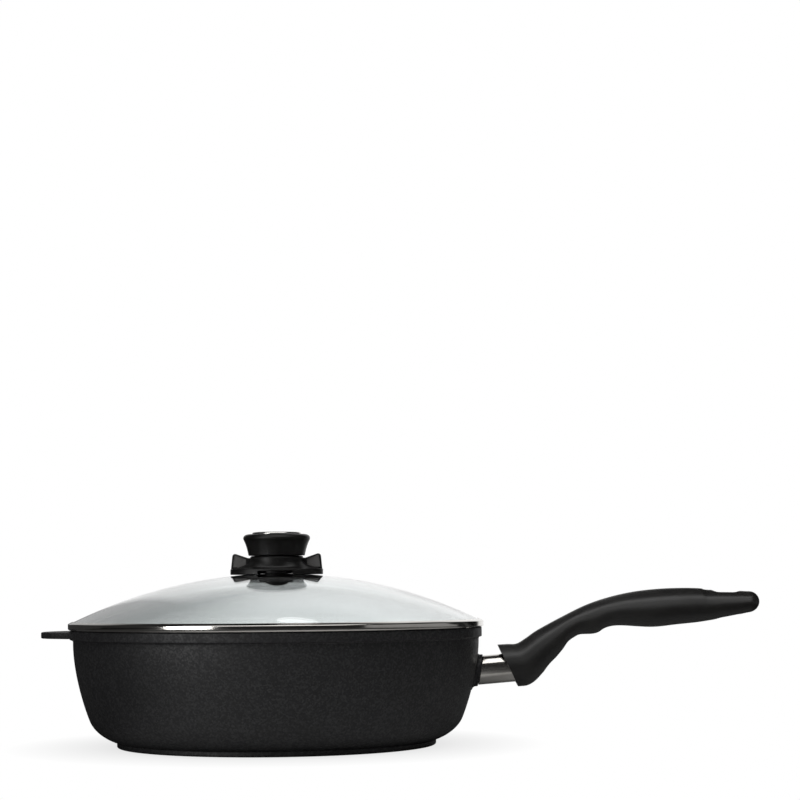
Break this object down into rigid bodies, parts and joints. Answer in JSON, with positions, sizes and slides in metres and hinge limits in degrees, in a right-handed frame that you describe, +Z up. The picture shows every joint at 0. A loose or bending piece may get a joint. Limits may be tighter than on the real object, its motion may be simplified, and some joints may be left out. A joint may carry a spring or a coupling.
{
  "type": "deep frying pan with glass lid",
  "caption": "Deep cast pan with a long curved handle, a helper lug and a lift-off domed glass lid whose knob has a turning collar that opens and closes the steam vents.",
  "frame": {"origin": "on the pan's axis, on the flat face of its foot that stands on the hob", "axes": "+Z up along the pan's axis, +X towards the end of the handle, so the picture looks along +Y"},
  "size_m": [0.5082, 0.2928, 0.1499],
  "materials": {
    "coated_casting": "cast aluminium with a fine speckled matte black coating",
    "phenolic": "satin black moulded phenolic resin",
    "stainless": "polished stainless steel sheet",
    "zinced_steel": "zinc plated steel",
    "blackened_steel": "blackened steel",
    "brass": "turned brass",
    "silicone": "black silicone rubber",
    "clear_glass": "clear tempered glass"
  },
  "bodies": {
    "pan": {"pan_body": "coated_casting", "handle_ferrule": "stainless", "handle_grip": "phenolic", "handle_flat_washer": "zinced_steel", "handle_spring_washer": "zinced_steel", "handle_screw": "zinced_steel"},
    "lid": {"lid_glass": "clear_glass", "lid_band": "stainless", "hub_gasket": "silicone", "vent_hub": "phenolic", "knob_grip": "phenolic", "knob_cap": "stainless", "knob_insert": "brass", "lower_gasket": "silicone", "lower_washer": "blackened_steel", "knob_screw": "blackened_steel"},
    "collar": {"vent_collar": "phenolic"}
  },
  "joints": [
    {"name": "lid_lift", "type": "slide", "parent": "pan", "child": "lid", "axis": [0, 0, 1], "range_m": [0, 0.12]},
    {"name": "vent_turn", "type": "hinge", "parent": "lid", "child": "collar", "pos_m": [0, 0, 0.126], "axis": [0, 0, 1], "range_deg": [0, 90]}
  ]
}
